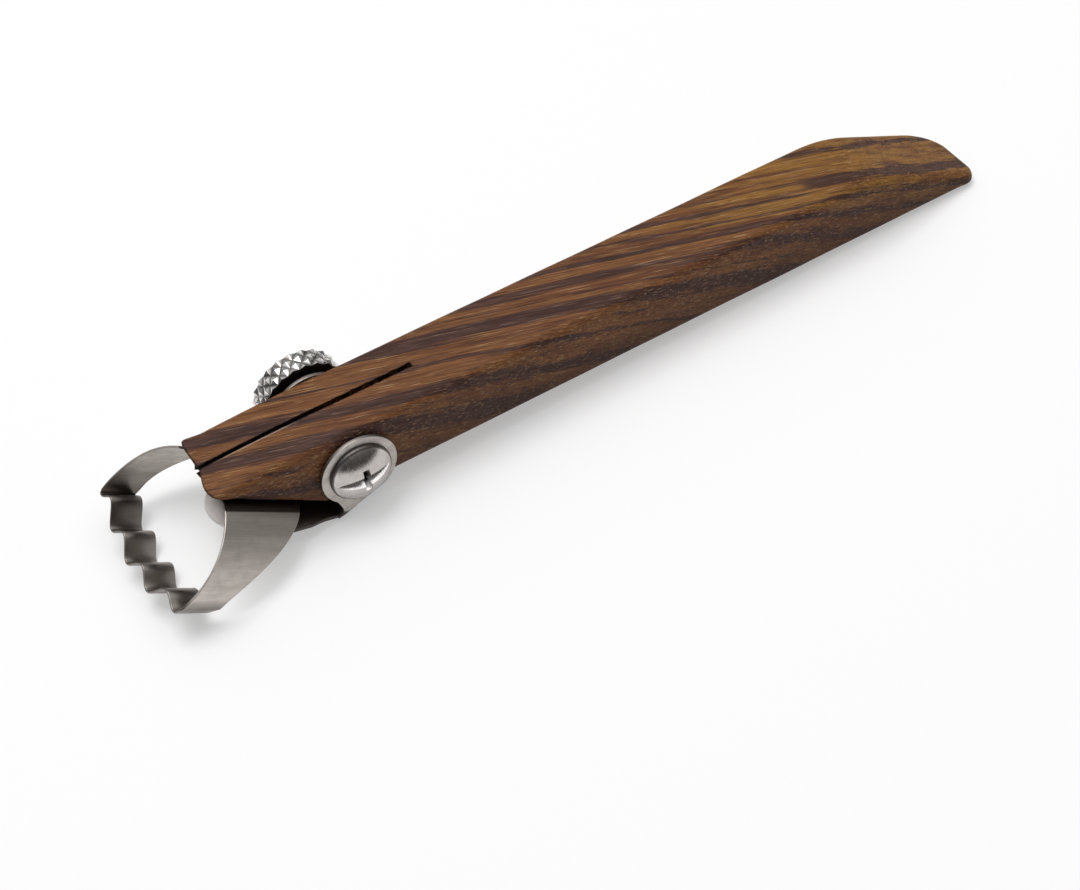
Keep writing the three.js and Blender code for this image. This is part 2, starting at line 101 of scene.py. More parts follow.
# Screw, washer and nut
BORE_RADIUS = 3.08
BORE_SEGMENTS = 64
SCREW_RADIUS = 3.0
SCREW_END = 18.9
THREAD_START = 11.0
THREAD_PITCH = 1.0
THREAD_DEPTH = 0.5
THREAD_FLAT = 0.08
THREAD_LAND = 0.1
THREAD_CHAMFER = 0.6
THREAD_SEGMENTS = 64
THREAD_STEPS = 12
EAR_GAP = 0.65
EAR_SHEET = 0.8
EAR_OUTER = HANDLE_WIDTH / 2 + EAR_GAP + EAR_SHEET
SEAT_GAP = 0.12
HEAD_SEAT = -EAR_OUTER - SEAT_GAP
HEAD_RADIUS = 7.0
HEAD_RIM = 0.75
HEAD_CHAMFER = 0.3
HEAD_DOME = 2.8
HEAD_EDGE = 0.12
HEAD_EDGE_IN = 0.08
HEAD_EDGE_DOWN = 0.06
SEAT_EDGE_IN = 0.1
DOME_RINGS = 24
HEAD_SEGMENTS = 128
RIM_Y = HEAD_SEAT - HEAD_RIM
CROWN_Y = RIM_Y - HEAD_CHAMFER - HEAD_DOME
DOME_RADIUS = ((HEAD_RADIUS - HEAD_CHAMFER) ** 2 + HEAD_DOME**2) / (2 * HEAD_DOME)
DOME_CENTRE = (0.0, CROWN_Y + DOME_RADIUS, -SCREW_DEPTH)
SLOT_TOP = (20, 4.2)
SLOT_FLOOR = (20, 0.4)
SLOT_DEPTH = 2.3
CROSS_TOP = (7.4, 2.1)
CROSS_FLOOR = (4.0, 0.5)
CROSS_DEPTH = 2.5
CUTTER_OVER = 1.0
WASHER_RADIUS = 6.0
WASHER_THICK = 0.7
WASHER_EDGE = 0.1
WASHER_IN = EAR_OUTER + SEAT_GAP
WASHER_OUT = WASHER_IN + WASHER_THICK
NUT_THICK = 5.6
NUT_IN = WASHER_OUT + SEAT_GAP
NUT_OUT = NUT_IN + NUT_THICK
NUT_RADIUS = 10.33
NUT_STEP = 0.3
NUT_CHAMFER_IN = 0.5
NUT_CHAMFER_OUT = 0.45
NUT_RING = (7.0, 6.6, 4.6, 4.3)
NUT_RING_DEPTH = 0.25
KNURL_DEPTH = 0.53
KNURL_FOOT = NUT_RADIUS - KNURL_DEPTH
KNURL_ROUND = 0.09
KNURLS = 22
KNURL_ROWS = 3

# Blade and saddle
SHEET = 0.5
SHEET_EDGE = 0.13
SHEET_EDGE_IN = 0.04
SHEET_EDGE_DOWN = 0.06
LAY_GAP = 0.3
TAIL_FRONT = 2.0
TAIL_REAR = 20.5
TAIL_FLAT = 8.4
TAIL_LAP = 7.5
TAIL_END = 6.0
TAIL_END_SHARE = 0.4
TAIL_STEPS = 30
LOOP_HALF = 19.45
ARM_DROP = 17.6
ARM_LENGTH = 23.2
ARM_START_PULL = (6.6, 2.65)
ARM_END_PULL = (0.15, 8)
ARM_STEPS = 40
FRONT_START = 0.56
REAR_START = -0.2
REAR_FINISH = -0.5
CORNER_REAR = 3.4
CORNER_TAPER = 3.5
CORNER_IN = 0.1
BAND_FRONT = -5.8
BAND_REAR = 1.7
CORNER_DROP = 19.6
WAVE_DEPTH = 23.9
WAVE_HEIGHT = 3.3
WAVE_PITCH = 9.3
WAVE_SKEW = 0.4
WAVE_SHIFT = 2.3
WAVES = 4
WAVE_STEPS = 44
WAVE_BOW = 4.8
WAVE_CENTRE = -0.5
SADDLE_ROUND = 0.08
SADDLE_FLAT_DEGREES = 0.6

rest_axis = frame["record"]["mounts"][0]["axis"]
screw_joint = next(j for j in frame["joints"] if j["name"] == "screw_turn")
tilt = math.atan2(-rest_axis[0], -rest_axis[2])
TOOL = (
    Matrix.Translation(screw_joint["pos_m"])
    @ Matrix.Rotation(tilt, 4, "Y")
    @ Matrix.Translation((0, 0, SCREW_DEPTH * MM))
)


# Mesh helpers
def linspace(start, stop, count):
    return [start + (stop - start) * i / (count - 1) for i in range(count)]


def smooth(low, high, value):
    share = min(max((value - low) / (high - low), 0), 1)
    return share * share * (3 - 2 * share)


def add_object(name, data):
    obj = bpy.data.objects.new(name, data)
    bpy.context.scene.collection.objects.link(obj)
    return obj


def mesh_object(name, points, faces):
    mesh = bpy.data.meshes.new(name)
    mesh.from_pydata([Vector(p) * MM for p in points], [], faces)
    mesh.validate()
    obj = add_object(name, mesh)
    obj.matrix_world = TOOL
    return obj


def edit_mesh(mesh, weld=False, flat_degrees=0.0, outwards=False):
    work = bmesh.new()
    work.from_mesh(mesh)
    if weld:
        bmesh.ops.remove_doubles(work, verts=work.verts, dist=WELD)
    if flat_degrees:
        limit = math.radians(flat_degrees)
        bmesh.ops.dissolve_limit(work, angle_limit=limit, verts=work.verts, edges=work.edges)
    if outwards:
        bmesh.ops.recalc_face_normals(work, faces=work.faces)
    work.to_mesh(mesh)
    work.free()


def loft_object(name, rings):
    size = len(rings[0])
    points = [p for ring in rings for p in ring]
    faces = []
    for r in range(len(rings) - 1):
        for i in range(size):
            a = r * size + i
            b = r * size + (i + 1) % size
            faces.append((a, b, b + size, a + size))
    faces.append(tuple(reversed(range(size))))
    faces.append(tuple(range(len(points) - size, len(points))))
    obj = mesh_object(name, points, faces)
    edit_mesh(obj.data, outwards=True)
    return obj


# A point at an angle about the screw's axis
def turned_point(radius, angle, y):
    return (radius * math.cos(angle), y, radius * math.sin(angle) - SCREW_DEPTH)


# A profile of (radius, y) turned about the screw's axis
def turned_object(name, profile, segments=96, closed=False):
    rows = len(profile)
    points = [
        turned_point(radius, 2 * math.pi * s / segments, y)
        for radius, y in profile
        for s in range(segments)
    ]
    faces = []
    for r in range(rows if closed else rows - 1):
        for s in range(segments):
            t = (s + 1) % segments
            low = r * segments
            high = ((r + 1) % rows) * segments
            faces.append((low + s, low + t, high + t, high + s))
    obj = mesh_object(name, points, faces)
    edit_mesh(obj.data, weld=True, outwards=True)
    return obj


def apply_modifiers(obj):
    bpy.context.view_layer.update()
    graph = bpy.context.evaluated_depsgraph_get()
    made = bpy.data.meshes.new_from_object(obj.evaluated_get(graph))
    old = obj.data
    obj.modifiers.clear()
    obj.data = made
    bpy.data.meshes.remove(old)


def cut(obj, cutter):
    modifier = obj.modifiers.new("cut", "BOOLEAN")
    modifier.operation = "DIFFERENCE"
    modifier.solver = "EXACT"
    modifier.object = cutter
    apply_modifiers(obj)
    bpy.data.objects.remove(cutter)


def round_edges(obj, width, angle):
    modifier = obj.modifiers.new("round", "BEVEL")
    modifier.width = width * MM
    modifier.segments = 2
    modifier.limit_method = "ANGLE"
    modifier.angle_limit = math.radians(angle)
    modifier.use_clamp_overlap = True
    apply_modifiers(obj)


def finish_piece(obj, body, material, nodes, sharp):
    obj.data.shade_smooth()
    obj.data.set_sharp_from_angle(angle=math.radians(sharp))
    obj.data.materials.clear()
    obj.data.materials.append(material)
    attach(obj, body)
    if nodes:
        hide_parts(*nodes)


# Shader helpers
class Nodes:
    def __init__(self, tree):
        self.tree = tree

    def node(self, kind, inputs=None, **settings):
        made = self.tree.nodes.new(kind)
        for key, value in settings.items():
            setattr(made, key, value)
        for key, value in (inputs or {}).items():
            self.put(made.inputs[key], value)
        return made

    def put(self, socket, value):
        if isinstance(value, bpy.types.NodeSocket):
            self.tree.links.new(value, socket)
        else:
            socket.default_value = value

    def math(self, operation, a, b=0.0, c=0.0):
        return self.node("ShaderNodeMath", {0: a, 1: b, 2: c}, operation=operation).outputs[0]

    def times(self, a, b):
        return self.math("MULTIPLY", a, b)

    # A value moved up and down by a texture that runs from 0 to 1
    def shift(self, value, texture, reach):
        return self.math("ADD", value, self.math("MULTIPLY_ADD", texture, 2 * reach, -reach))

    def vector_math(self, operation, inputs):
        return self.node("ShaderNodeVectorMath", inputs, operation=operation).outputs

    def dot(self, vector, direction):
        return self.vector_math("DOT_PRODUCT", {0: vector, 1: direction})["Value"]

    def length(self, vector):
        return self.vector_math("LENGTH", {0: vector})["Value"]

    def coordinate(self, kind):
        return self.node("ShaderNodeTexCoord").outputs[kind]

    def split(self, vector):
        return self.node("ShaderNodeSeparateXYZ", {0: vector}).outputs

    def vector(self, x, y, z):
        return self.node("ShaderNodeCombineXYZ", {0: x, 1: y, 2: z}).outputs[0]

    def place(self, vector, scale=(1, 1, 1), rotation=(0, 0, 0), location=(0, 0, 0)):
        inputs = {"Vector": vector, "Scale": scale, "Rotation": rotation, "Location": location}
        return self.node("ShaderNodeMapping", inputs).outputs[0]

    def noise(self, vector, scale=1.0, detail=3.0, roughness=0.5):
        inputs = {"Vector": vector, "Scale": scale, "Detail": detail, "Roughness": roughness}
        return self.node("ShaderNodeTexNoise", inputs).outputs[0]

    def fade(self, value, low, high, to_low=0.0, to_high=1.0):
        inputs = {"Value": value, "From Min": low, "From Max": high, "To Min": to_low, "To Max": to_high}
        return self.node("ShaderNodeMapRange", inputs, interpolation_type="SMOOTHSTEP").outputs[0]

    # One between the two middle bounds, and nothing outside the other two
    def window(self, value, start, full, last, end):
        return self.times(self.fade(value, start, full), self.fade(value, end, last))

    def mix(self, share, a, b):
        made = self.node("ShaderNodeMix", data_type="RGBA")
        self.put(made.inputs["Factor"], share)
        self.put(made.inputs[6], a)
        self.put(made.inputs[7], b)
        return made.outputs[2]

    def ramp(self, value, stops):
        made = self.node("ShaderNodeValToRGB", {0: value})
        elements = made.color_ramp.elements
        while len(elements) > 1:
            elements.remove(elements[-1])
        for i, (place, colour) in enumerate(stops):
            element = elements[0] if i == 0 else elements.new(place)
            element.position = place
            element.color = colour
        return made.outputs[0]

    def bump(self, height, distance, strength):
        inputs = {"Height": height, "Distance": distance, "Strength": strength}
        return self.node("ShaderNodeBump", inputs).outputs[0]


# Relief of each surface: its height in metres and its strength
WOOD_RELIEF = (0.00012, 0.6)
STRIP_RELIEF = (0.00004, 0.35)
PLATED_RELIEF = (0.00003, 0.4)


class Shader(Nodes):
    def __init__(self, name):
        self.material = bpy.data.materials.new(name)
        self.material.use_nodes = True
        super().__init__(self.material.node_tree)
        self.bsdf = self.tree.nodes["Principled BSDF"]

    def principled(self, **inputs):
        for key, value in inputs.items():
            self.put(self.bsdf.inputs[key.replace("_", " ")], value)

    def tool_millimetres(self):
        return self.vector_math("SCALE", {0: self.coordinate("Object"), 3: 1 / MM})[0]

    # Roughness that varies with two textures
    def roughness(self, fine, cloud, fine_range, levels):
        clouded = self.fade(cloud, 0.3, 0.8, 0.0, 0.08)
        return self.math("ADD", self.fade(fine, *fine_range, *levels), clouded)


def darker(colour, share):
    return [c * share for c in colour[:3]] + [1]


# Striped hardwood. The layers slant across the stick, and the fibres run askew in them.
FIBRE = (0.95, -0.313, 0.0)
LAYER_NORMAL = (0.33, 1.0, 0.9)
IN_LAYER = (0.282, 0.855, -1.053)
LAYER_START = -42.0
LAYER_SPAN = 104.0
LAYER_SWAY = 2.0
LAYER_RIPPLE = 1.2
LAYER_LINES = 0.75
RAMP_LAYERS = 9
RAMP_STEP = 0.0008
# Each dark layer: its place across the layers, its half width and its depth of colour
DARK_LAYERS = (
    (-35.0, 1.3, 0.8), (-28.4, 2.0, 1.0), (-21.5, 1.1, 0.9), (-16.8, 0.5, 0.6), (-10.3, 2.1, 1.0),
    (-6.2, 0.4, 0.6), (-2.7, 1.9, 1.0), (1.2, 0.4, 0.6), (4.7, 0.7, 0.8), (8.4, 0.3, 0.5),
    (12.7, 2.0, 1.0), (16.9, 0.5, 0.6), (21.2, 2.1, 0.75), (26.0, 1.3, 0.95), (30.3, 0.6, 0.7),
    (34.2, 0.9, 0.8), (38.5, 0.5, 0.6),
)
TAIL_LAYERS = (
    (20.5, 2.2, 0.66), (25.4, 2.2, 0.74), (30.4, 2.0, 0.7), (36.4, 2.6, 1.0),
    (48.4, 0.9, 0.95), (53.6, 0.5, 0.6),
)
# Where the layers of the tail take over, and where the wood turns golden
TAIL_LAYERS_X = (114, 126)
GOLDEN_X = (55, 100)
GOLDEN_LAYER = (24, 33)
# The sides of the stick, and the painted shade that darkens them towards the under side
SIDE_Y = (8.8, 9.7)
SIDE_SHADE_Z = (-5.0, -17.0)
SIDE_SHADE = 0.45
# Scorched wood: beside the kerf, past its end, and on the end of the nose
BURNT_BESIDE = (0.5, 0.92)
BURNT_WANDER = -0.35
BURNT_PAST = (0.5, 0.1)
BURNT_NOSE_X = (-20, -24)
BURNT_NOSE_NORMAL = (-0.3, -0.75)
BURNT_NOSE = 0.62
# The painted highlight along the near edge of the kerf, across and along the stick
GLINT_Y = (-0.80, -0.66, -0.52, -0.42)
GLINT_X = (-27, -22, -12, -6)
GLINT = 0.6
WOOD_ROUGHNESS = (0.5, 0.66)
WOOD_SPECULAR = 0.16

TAN = (0.226, 0.090, 0.031, 1)
GOLD = (0.318, 0.148, 0.030, 1)
RED_BROWN = (0.155, 0.055, 0.022, 1)
PALE_LINE = (0.37, 0.185, 0.062, 1)
DARK_LINE = (0.072, 0.031, 0.020, 1)
LAYER_BROWN = (0.040, 0.018, 0.016, 1)
LAYER_LINE = (0.082, 0.040, 0.034, 1)
FIBRE_BROWN = (0.02, 0.009, 0.006, 1)
VESSEL_IN_TAN = (0.44, 0.28, 0.13, 1)
VESSEL_IN_BROWN = (0.24, 0.15, 0.11, 1)
PIT_BROWN = (0.026, 0.012, 0.008, 1)
DASH_PALE = (0.34, 0.22, 0.13, 1)
SIDE_SHADE_BROWN = (0.035, 0.018, 0.012, 1)
SPECK_BROWN = (0.03, 0.015, 0.01, 1)
SCORCHED = (0.010, 0.005, 0.004, 1)
KERF_HIGHLIGHT = (0.50, 0.36, 0.27, 1)


# Soft peaks at the dark layers, from ramps of a few layers each
def layer_peaks(shader, place, layers):
    share = shader.math("DIVIDE", shader.math("SUBTRACT", place, LAYER_START), LAYER_SPAN)
    peaks = None
    for first in range(0, len(layers), RAMP_LAYERS):
        stops = [(0.0, (0, 0, 0, 1))]
        for middle, half, depth in layers[first:first + RAMP_LAYERS]:
            for offset, level in ((-2 * half, 0.0), (0, depth), (2 * half, 0.0)):
                stop = (middle + offset - LAYER_START) / LAYER_SPAN
                stops.append((max(stop, stops[-1][0] + RAMP_STEP), (level, level, level, 1)))
        ramp = shader.ramp(share, stops)
        peaks = ramp if peaks is None else shader.math("MAXIMUM", peaks, ramp)
    return peaks


def striped_wood():
    shader = Shader("striped_wood")
    place = shader.tool_millimetres()
    x, y, z = shader.split(place)
    layer = shader.dot(place, LAYER_NORMAL)
    grain = shader.vector(shader.dot(place, FIBRE), shader.dot(place, IN_LAYER), layer)

    # Noise in the directions of the fibres, across them in a layer, and across the layers
    def grain_noise(scale, detail, roughness=0.5, location=(0, 0, 0)):
        return shader.noise(shader.place(grain, scale, location=location), 1.0, detail, roughness)

    sway = grain_noise((0.022, 0.05, 0.07), 2.0)
    ripple = grain_noise((0.07, 0.35, 0.9), 3.0, 0.6)
    lines = grain_noise((0.035, 0.25, 2.0), 5.0, 0.75)
    warped = shader.shift(shader.shift(layer, sway, LAYER_SWAY), ripple, LAYER_RIPPLE)
    stick_peaks = layer_peaks(shader, warped, DARK_LAYERS)
    tail_peaks = layer_peaks(shader, warped, TAIL_LAYERS)
    peaks = shader.mix(shader.fade(x, *TAIL_LAYERS_X), stick_peaks, tail_peaks)
    dark = shader.fade(shader.shift(peaks, lines, LAYER_LINES), 0.30, 0.62)

    # Between the dark layers the wood turns from tan to red, and to gold towards the far tail
    broad = grain_noise((0.02, 0.12, 0.34), 2.0)
    golden = shader.times(shader.fade(x, *GOLDEN_X), shader.fade(layer, *GOLDEN_LAYER))
    base = shader.mix(shader.fade(broad, 0.44, 0.62, 0.0, 0.85), shader.mix(golden, TAN, GOLD), RED_BROWN)
    pale = grain_noise((0.05, 0.5, 1.7), 4.0, 0.7, (31, 4, 7))
    base = shader.mix(shader.fade(pale, 0.54, 0.72, 0.0, 0.8), base, PALE_LINE)
    base = shader.mix(shader.fade(lines, 0.44, 0.70, 0.0, 0.75), base, DARK_LINE)
    brown = shader.mix(shader.fade(pale, 0.40, 0.62), LAYER_BROWN, LAYER_LINE)
    base = shader.mix(shader.times(dark, 0.9), base, brown)

    # Fibres and open vessels: long lines on top, short dashes on the sides
    fibre = grain_noise((0.10, 2.2, 4.2), 3.0, 0.7)
    base = shader.mix(shader.fade(fibre, 0.36, 0.66, 0.0, 0.6), base, shader.mix(0.62, base, FIBRE_BROWN))
    fleck = grain_noise((0.13, 1.25, 3.3), 2.0, 0.6, (5, 9, 2))
    vessel = shader.times(shader.fade(fleck, 0.60, 0.68), 0.6)
    base = shader.mix(vessel, base, shader.mix(dark, VESSEL_IN_TAN, VESSEL_IN_BROWN))
    pit = shader.fade(fleck, 0.40, 0.31)
    base = shader.mix(shader.times(pit, 0.6), base, PIT_BROWN)
    on_side = shader.fade(shader.math("ABSOLUTE", y), *SIDE_Y)
    dash = shader.fade(grain_noise((0.34, 1.4, 2.2), 1.0, 0.4, (3, 8, 6)), 0.632, 0.69)
    base = shader.mix(shader.times(shader.times(dash, on_side), 0.5), base, DASH_PALE)
    # Painted shade: the sides darken towards the under side
    low = shader.times(shader.fade(z, *SIDE_SHADE_Z, 0.0, SIDE_SHADE), on_side)
    base = shader.mix(low, base, SIDE_SHADE_BROWN)
    speck = shader.noise(place, 5.5, 2.0, 0.6)
    base = shader.mix(shader.fade(speck, 0.40, 0.75, 0.0, 0.3), base, shader.mix(0.5, base, SPECK_BROWN))

    # Scorched edges of the saw kerf, and a painted highlight along its near edge
    wander = shader.noise(shader.place(place, (1.3, 1.3, 0.5)), detail=3.0)
    beside = shader.math("ABSOLUTE", shader.math("SUBTRACT", y, KERF_MIDDLE))
    beside = shader.shift(beside, wander, BURNT_WANDER)
    past = [KERF_END + reach for reach in BURNT_PAST]
    burnt = shader.times(shader.fade(beside, *BURNT_BESIDE, 1.0, 0.0), shader.fade(x, *past))
    forward = shader.split(shader.coordinate("Normal"))[0]
    on_nose = shader.fade(forward, *BURNT_NOSE_NORMAL, 0.0, BURNT_NOSE)
    on_nose = shader.times(on_nose, shader.fade(x, *BURNT_NOSE_X))
    base = shader.mix(shader.math("MAXIMUM", burnt, on_nose), base, SCORCHED)
    glint = shader.times(shader.window(y, *GLINT_Y), shader.window(x, *GLINT_X))
    base = shader.mix(shader.times(glint, GLINT), base, KERF_HIGHLIGHT)

    height = shader.math("ADD", shader.times(fibre, -0.6), shader.times(pit, -0.8))
    shader.principled(
        Base_Color=base,
        Roughness=shader.fade(fibre, 0.3, 0.8, *WOOD_ROUGHNESS),
        Specular_IOR_Level=WOOD_SPECULAR,
        Normal=shader.bump(height, *WOOD_RELIEF),
    )
    return shader.material


# Sheet steel. Each painted shade of the blade: where it starts and is full, in mm below the bevel, and
# its share; the first on the corrugated band, the second on the tails in the handle's shadow. The other bounds are
# in mm below the bevel, along x or across in y.
BLADE_SHADES = ((16.5, 20.0, 0.58), (2.0, 1.8, 0.97))
FAR_SHADE_Y = (6.0, 14.0)
FAR_SHADE_BELOW = (9.0, 17.5)
FAR_SHADE_SHARE = 0.62
POLISH_BELOW = (15.0, 20.0)
POLISH = -0.14
TONGUE_X = (-25.0, -28.5)
TONGUE_METAL = 0.45
PLATE_SHADE_X = (-27.0, -22.0)
PLATE_SHADE_Y = (10.7, 10.1)
PLATE_SHADE_BELOW = (0.2, 0.8)
PLATE_SHADE_SHARE = 0.92
RIM_NORMAL = (0.8, 0.4)
RIM_ACROSS = (10.2, 10.45)
RIM_SHARE = 0.6

BLADE_STEEL = (0.56, 0.51, 0.465, 1)
SADDLE_STEEL = (0.47, 0.43, 0.40, 1)
PALE_STEEL = (0.9, 0.86, 0.82, 1)
DIRT = (0.16, 0.13, 0.11, 1)
SHADE = (0.06, 0.050, 0.044, 1)
FAR_ARM_SHADE = (0.10, 0.085, 0.075, 1)
TONGUE_LIGHT = (0.93, 0.88, 0.85, 1)
PLATE_SHADE = (0.05, 0.040, 0.035, 1)
PLATE_RIM_SHADE = (0.16, 0.135, 0.12, 1)


def brushed_steel(name, colour, turn, roughness, streaks, mottle, shades=(), plate=False):
    shader = Shader(name)
    place = shader.tool_millimetres()
    x, y = shader.split(place)[:2]
    turned = shader.place(place, (1, 1, 1), (0, turn, 0))
    fine = shader.noise(shader.place(turned, (0.22, 7.0, 7.0)), detail=4.0, roughness=0.7)
    broad = shader.noise(shader.place(turned, (0.06, 0.5, 0.5)), detail=3.0)
    cloud = shader.noise(place, 0.55, 4.0, 0.6)
    dirt_and_shade = shader.noise(place, 2.6, 4.0, 0.7)
    tone = shader.mix(shader.fade(fine, 0.25, 0.8, 0.0, streaks), colour, darker(colour, 0.45))
    tone = shader.mix(shader.fade(broad, 0.35, 0.75, 0.0, 0.22), tone, PALE_STEEL)
    tone = shader.mix(shader.fade(cloud, 0.4, 0.8, 0.0, mottle), tone, darker(colour, 0.5))
    tone = shader.mix(shader.fade(dirt_and_shade, 0.62, 0.8, 0.0, 0.3), tone, DIRT)
    rough = shader.roughness(fine, cloud, (0.2, 0.8), (roughness - 0.07, roughness + 0.09))
    metal = 1.0
    below = shader.dot(place, (-math.sin(BEVEL), 0, -math.cos(BEVEL)))
    below = shader.math("ADD", below, BEVEL_TOP_Z * math.cos(BEVEL) + TIP_X * math.sin(BEVEL))
    if shades:
        # Painted shade on the corrugated band and on the tails under the handle
        for light, dark, share in shades:
            tone = shader.mix(shader.fade(below, light, dark, 0.0, share), tone, SHADE)

        # Painted shade darkens the far arm towards its fold, and the band is polished by use
        far = shader.fade(y, *FAR_SHADE_Y, 0.0, FAR_SHADE_SHARE)
        far = shader.times(far, shader.fade(below, *FAR_SHADE_BELOW))
        tone = shader.mix(far, tone, FAR_ARM_SHADE)
        rough = shader.math("ADD", rough, shader.fade(below, *POLISH_BELOW, 0.0, POLISH))
    if plate:
        # Painted light brightens the tongue, which is also less metallic, and painted shade darkens the middle of
        # the plate under the handle
        across = shader.math("ABSOLUTE", y)
        metal = shader.fade(x, *TONGUE_X, 1.0, TONGUE_METAL)
        tone = shader.mix(shader.fade(x, *TONGUE_X), tone, TONGUE_LIGHT)
        # Painted shade on the plate under the handle
        plate_shade = shader.math("MAXIMUM", shader.fade(across, *PLATE_SHADE_Y), shader.fade(below, *PLATE_SHADE_BELOW))
        plate_shade = shader.times(shader.fade(x, *PLATE_SHADE_X), plate_shade)
        tone = shader.mix(shader.times(plate_shade, PLATE_SHADE_SHARE), tone, PLATE_SHADE)
        # Painted shade on the edges of the sheet
        sideways = shader.math("ABSOLUTE", shader.split(shader.coordinate("Normal"))[1])
        rim = shader.fade(sideways, *RIM_NORMAL, 0.0, RIM_SHARE)
        rim = shader.times(rim, shader.fade(across, *RIM_ACROSS))
        tone = shader.mix(rim, tone, PLATE_RIM_SHADE)
    shader.principled(
        Base_Color=tone,
        Metallic=metal,
        Roughness=rough,
        Normal=shader.bump(fine, *STRIP_RELIEF),
    )
    return shader.material


# Plated steel, with handling marks. Bounds are in mm from the rim, the seat, the dome's surface,
# the foot of the knurl or a face of the nut.
INSIDE_DEPTH = (0.04, 0.16)
INSIDE_RIM = (-0.05, -0.35)
UNDER_NORMAL = (0.12, -0.3)
UNDER_SHARE = 0.9
FLOOR_SHADE_DEPTH = (1.4, 2.4)
DOME_RIM = (-0.45, -0.75)
DOME_SHARE = 0.55
SEAT_SHADE_RIM = (-0.6, -0.2)
SEAT_SHADE_SEAT = (0.2, 0.6)
SEAT_SHADE_SHARE = 0.85
VALLEY = (-0.5, -0.3, 0.04, 0.24)
VALLEY_SHARE = 0.75
TURNED_FACE = (-0.4, -0.2)
TURNED_SHARE = 0.45
INNER_FACE = (0.5, 0.25)

SCREW_STEEL = (0.72, 0.68, 0.66, 1)
NUT_STEEL = (0.76, 0.74, 0.72, 1)
SPOT = (0.25, 0.22, 0.2, 1)
DOME_SHADE = (0.42, 0.385, 0.365, 1)
RECESS_HIGHLIGHT = (0.96, 0.94, 0.93, 1)
RECESS_SHADE = (0.035, 0.029, 0.026, 1)
VALLEY_DARK = (0.12, 0.105, 0.095, 1)
TURNED_LINE = (0.34, 0.315, 0.30, 1)
INNER_FACE_SHADE = (0.03, 0.026, 0.024, 1)


def from_level(level, offsets):
    return [level + offset for offset in offsets]


def bright_steel(name, colour, roughness, marks, recess=False, knurl=False):
    shader = Shader(name)
    place = shader.tool_millimetres()
    y = shader.split(place)[1]
    cloud = shader.noise(place, 0.7, 4.0, 0.6)
    scratch = shader.noise(shader.place(place, (6.0, 0.6, 0.9), (0.4, 0.7, 0.2)), detail=3.0, roughness=0.7)
    speck = shader.noise(place, 4.0, 3.0, 0.7)
    tone = shader.mix(shader.fade(cloud, 0.35, 0.75, 0.0, marks), colour, darker(colour, 0.55))
    tone = shader.mix(shader.fade(speck, 0.6, 0.85, 0.0, marks), tone, SPOT)
    rough = shader.roughness(scratch, cloud, (0.3, 0.75), (roughness - 0.05, roughness + 0.1))
    if recess:
        # Painted highlight on the walls of the recess, painted shade on its floor, under its edges and round the
        # seat, and painted shade over the dome
        from_centre = shader.vector_math("DISTANCE", {0: place, 1: DOME_CENTRE})["Value"]
        depth = shader.math("SUBTRACT", DOME_RADIUS, from_centre)
        past_rim = shader.fade(y, *from_level(RIM_Y, INSIDE_RIM))
        inside = shader.times(shader.fade(depth, *INSIDE_DEPTH), past_rim)
        upward = shader.split(shader.coordinate("Normal"))[2]
        under = shader.fade(upward, *UNDER_NORMAL, 0.0, UNDER_SHARE)
        dirt_and_shade = shader.times(inside, shader.math("MAXIMUM", under, shader.fade(depth, *FLOOR_SHADE_DEPTH)))
        seat = shader.window(y, *from_level(RIM_Y, SEAT_SHADE_RIM), *from_level(HEAD_SEAT, SEAT_SHADE_SEAT))
        dirt_and_shade = shader.math("MAXIMUM", dirt_and_shade, shader.times(seat, SEAT_SHADE_SHARE))
        # Painted shade over the dome
        dome = shader.fade(y, *from_level(RIM_Y, DOME_RIM))
        tone = shader.mix(shader.times(dome, DOME_SHARE), tone, DOME_SHADE)
        tone = shader.mix(inside, tone, RECESS_HIGHLIGHT)
        tone = shader.mix(dirt_and_shade, tone, RECESS_SHADE)
        rough = shader.math("ADD", rough, shader.times(dirt_and_shade, 0.25))
    if knurl:
        # Darker valleys, turned lines on the outer face, and painted shade that blackens the inner face
        from_axis = shader.vector_math("SUBTRACT", {0: place, 1: (0, 0, -SCREW_DEPTH)})[0]
        out = shader.length(shader.vector_math("MULTIPLY", {0: from_axis, 1: (1, 0, 1)})[0])
        valley = shader.window(out, *from_level(KNURL_FOOT, VALLEY))
        tone = shader.mix(shader.times(valley, VALLEY_SHARE), tone, VALLEY_DARK)
        turning = shader.noise(shader.vector(out, 0.0, 0.0), 5.0, 4.0, 0.8)
        outer = shader.fade(y, *from_level(NUT_OUT, TURNED_FACE), 0.0, TURNED_SHARE)
        tone = shader.mix(shader.times(shader.fade(turning, 0.35, 0.65), outer), tone, TURNED_LINE)
        inner = shader.fade(y, *from_level(NUT_IN, INNER_FACE))
        tone = shader.mix(inner, tone, INNER_FACE_SHADE)
        rough = shader.math("ADD", rough, shader.times(inner, 0.3))
    height = shader.math("ADD", cloud, shader.times(speck, 0.3))
    shader.principled(
        Base_Color=tone,
        Metallic=1.0,
        Roughness=rough,
        Normal=shader.bump(height, *PLATED_RELIEF),
    )
    return shader.material


wood = striped_wood()
blade_steel = brushed_steel(
    "spring_steel", BLADE_STEEL, turn=-BEVEL, roughness=0.44, streaks=0.35, mottle=0.25, shades=BLADE_SHADES
)
saddle_steel = brushed_steel(
    "sheet_steel", SADDLE_STEEL, turn=0.0, roughness=0.44, streaks=0.12, mottle=0.4, plate=True
)
screw_steel = bright_steel("bright_steel", SCREW_STEEL, roughness=0.2, marks=0.3, recess=True)
nut_steel = bright_steel("knurled_steel", NUT_STEEL, roughness=0.12, marks=0.12, knurl=True)


# Handle
def corner_inset(distance, radius):
    inside = min(max(distance, 0), radius)
    return radius - math.sqrt(radius**2 - (radius - inside) ** 2)


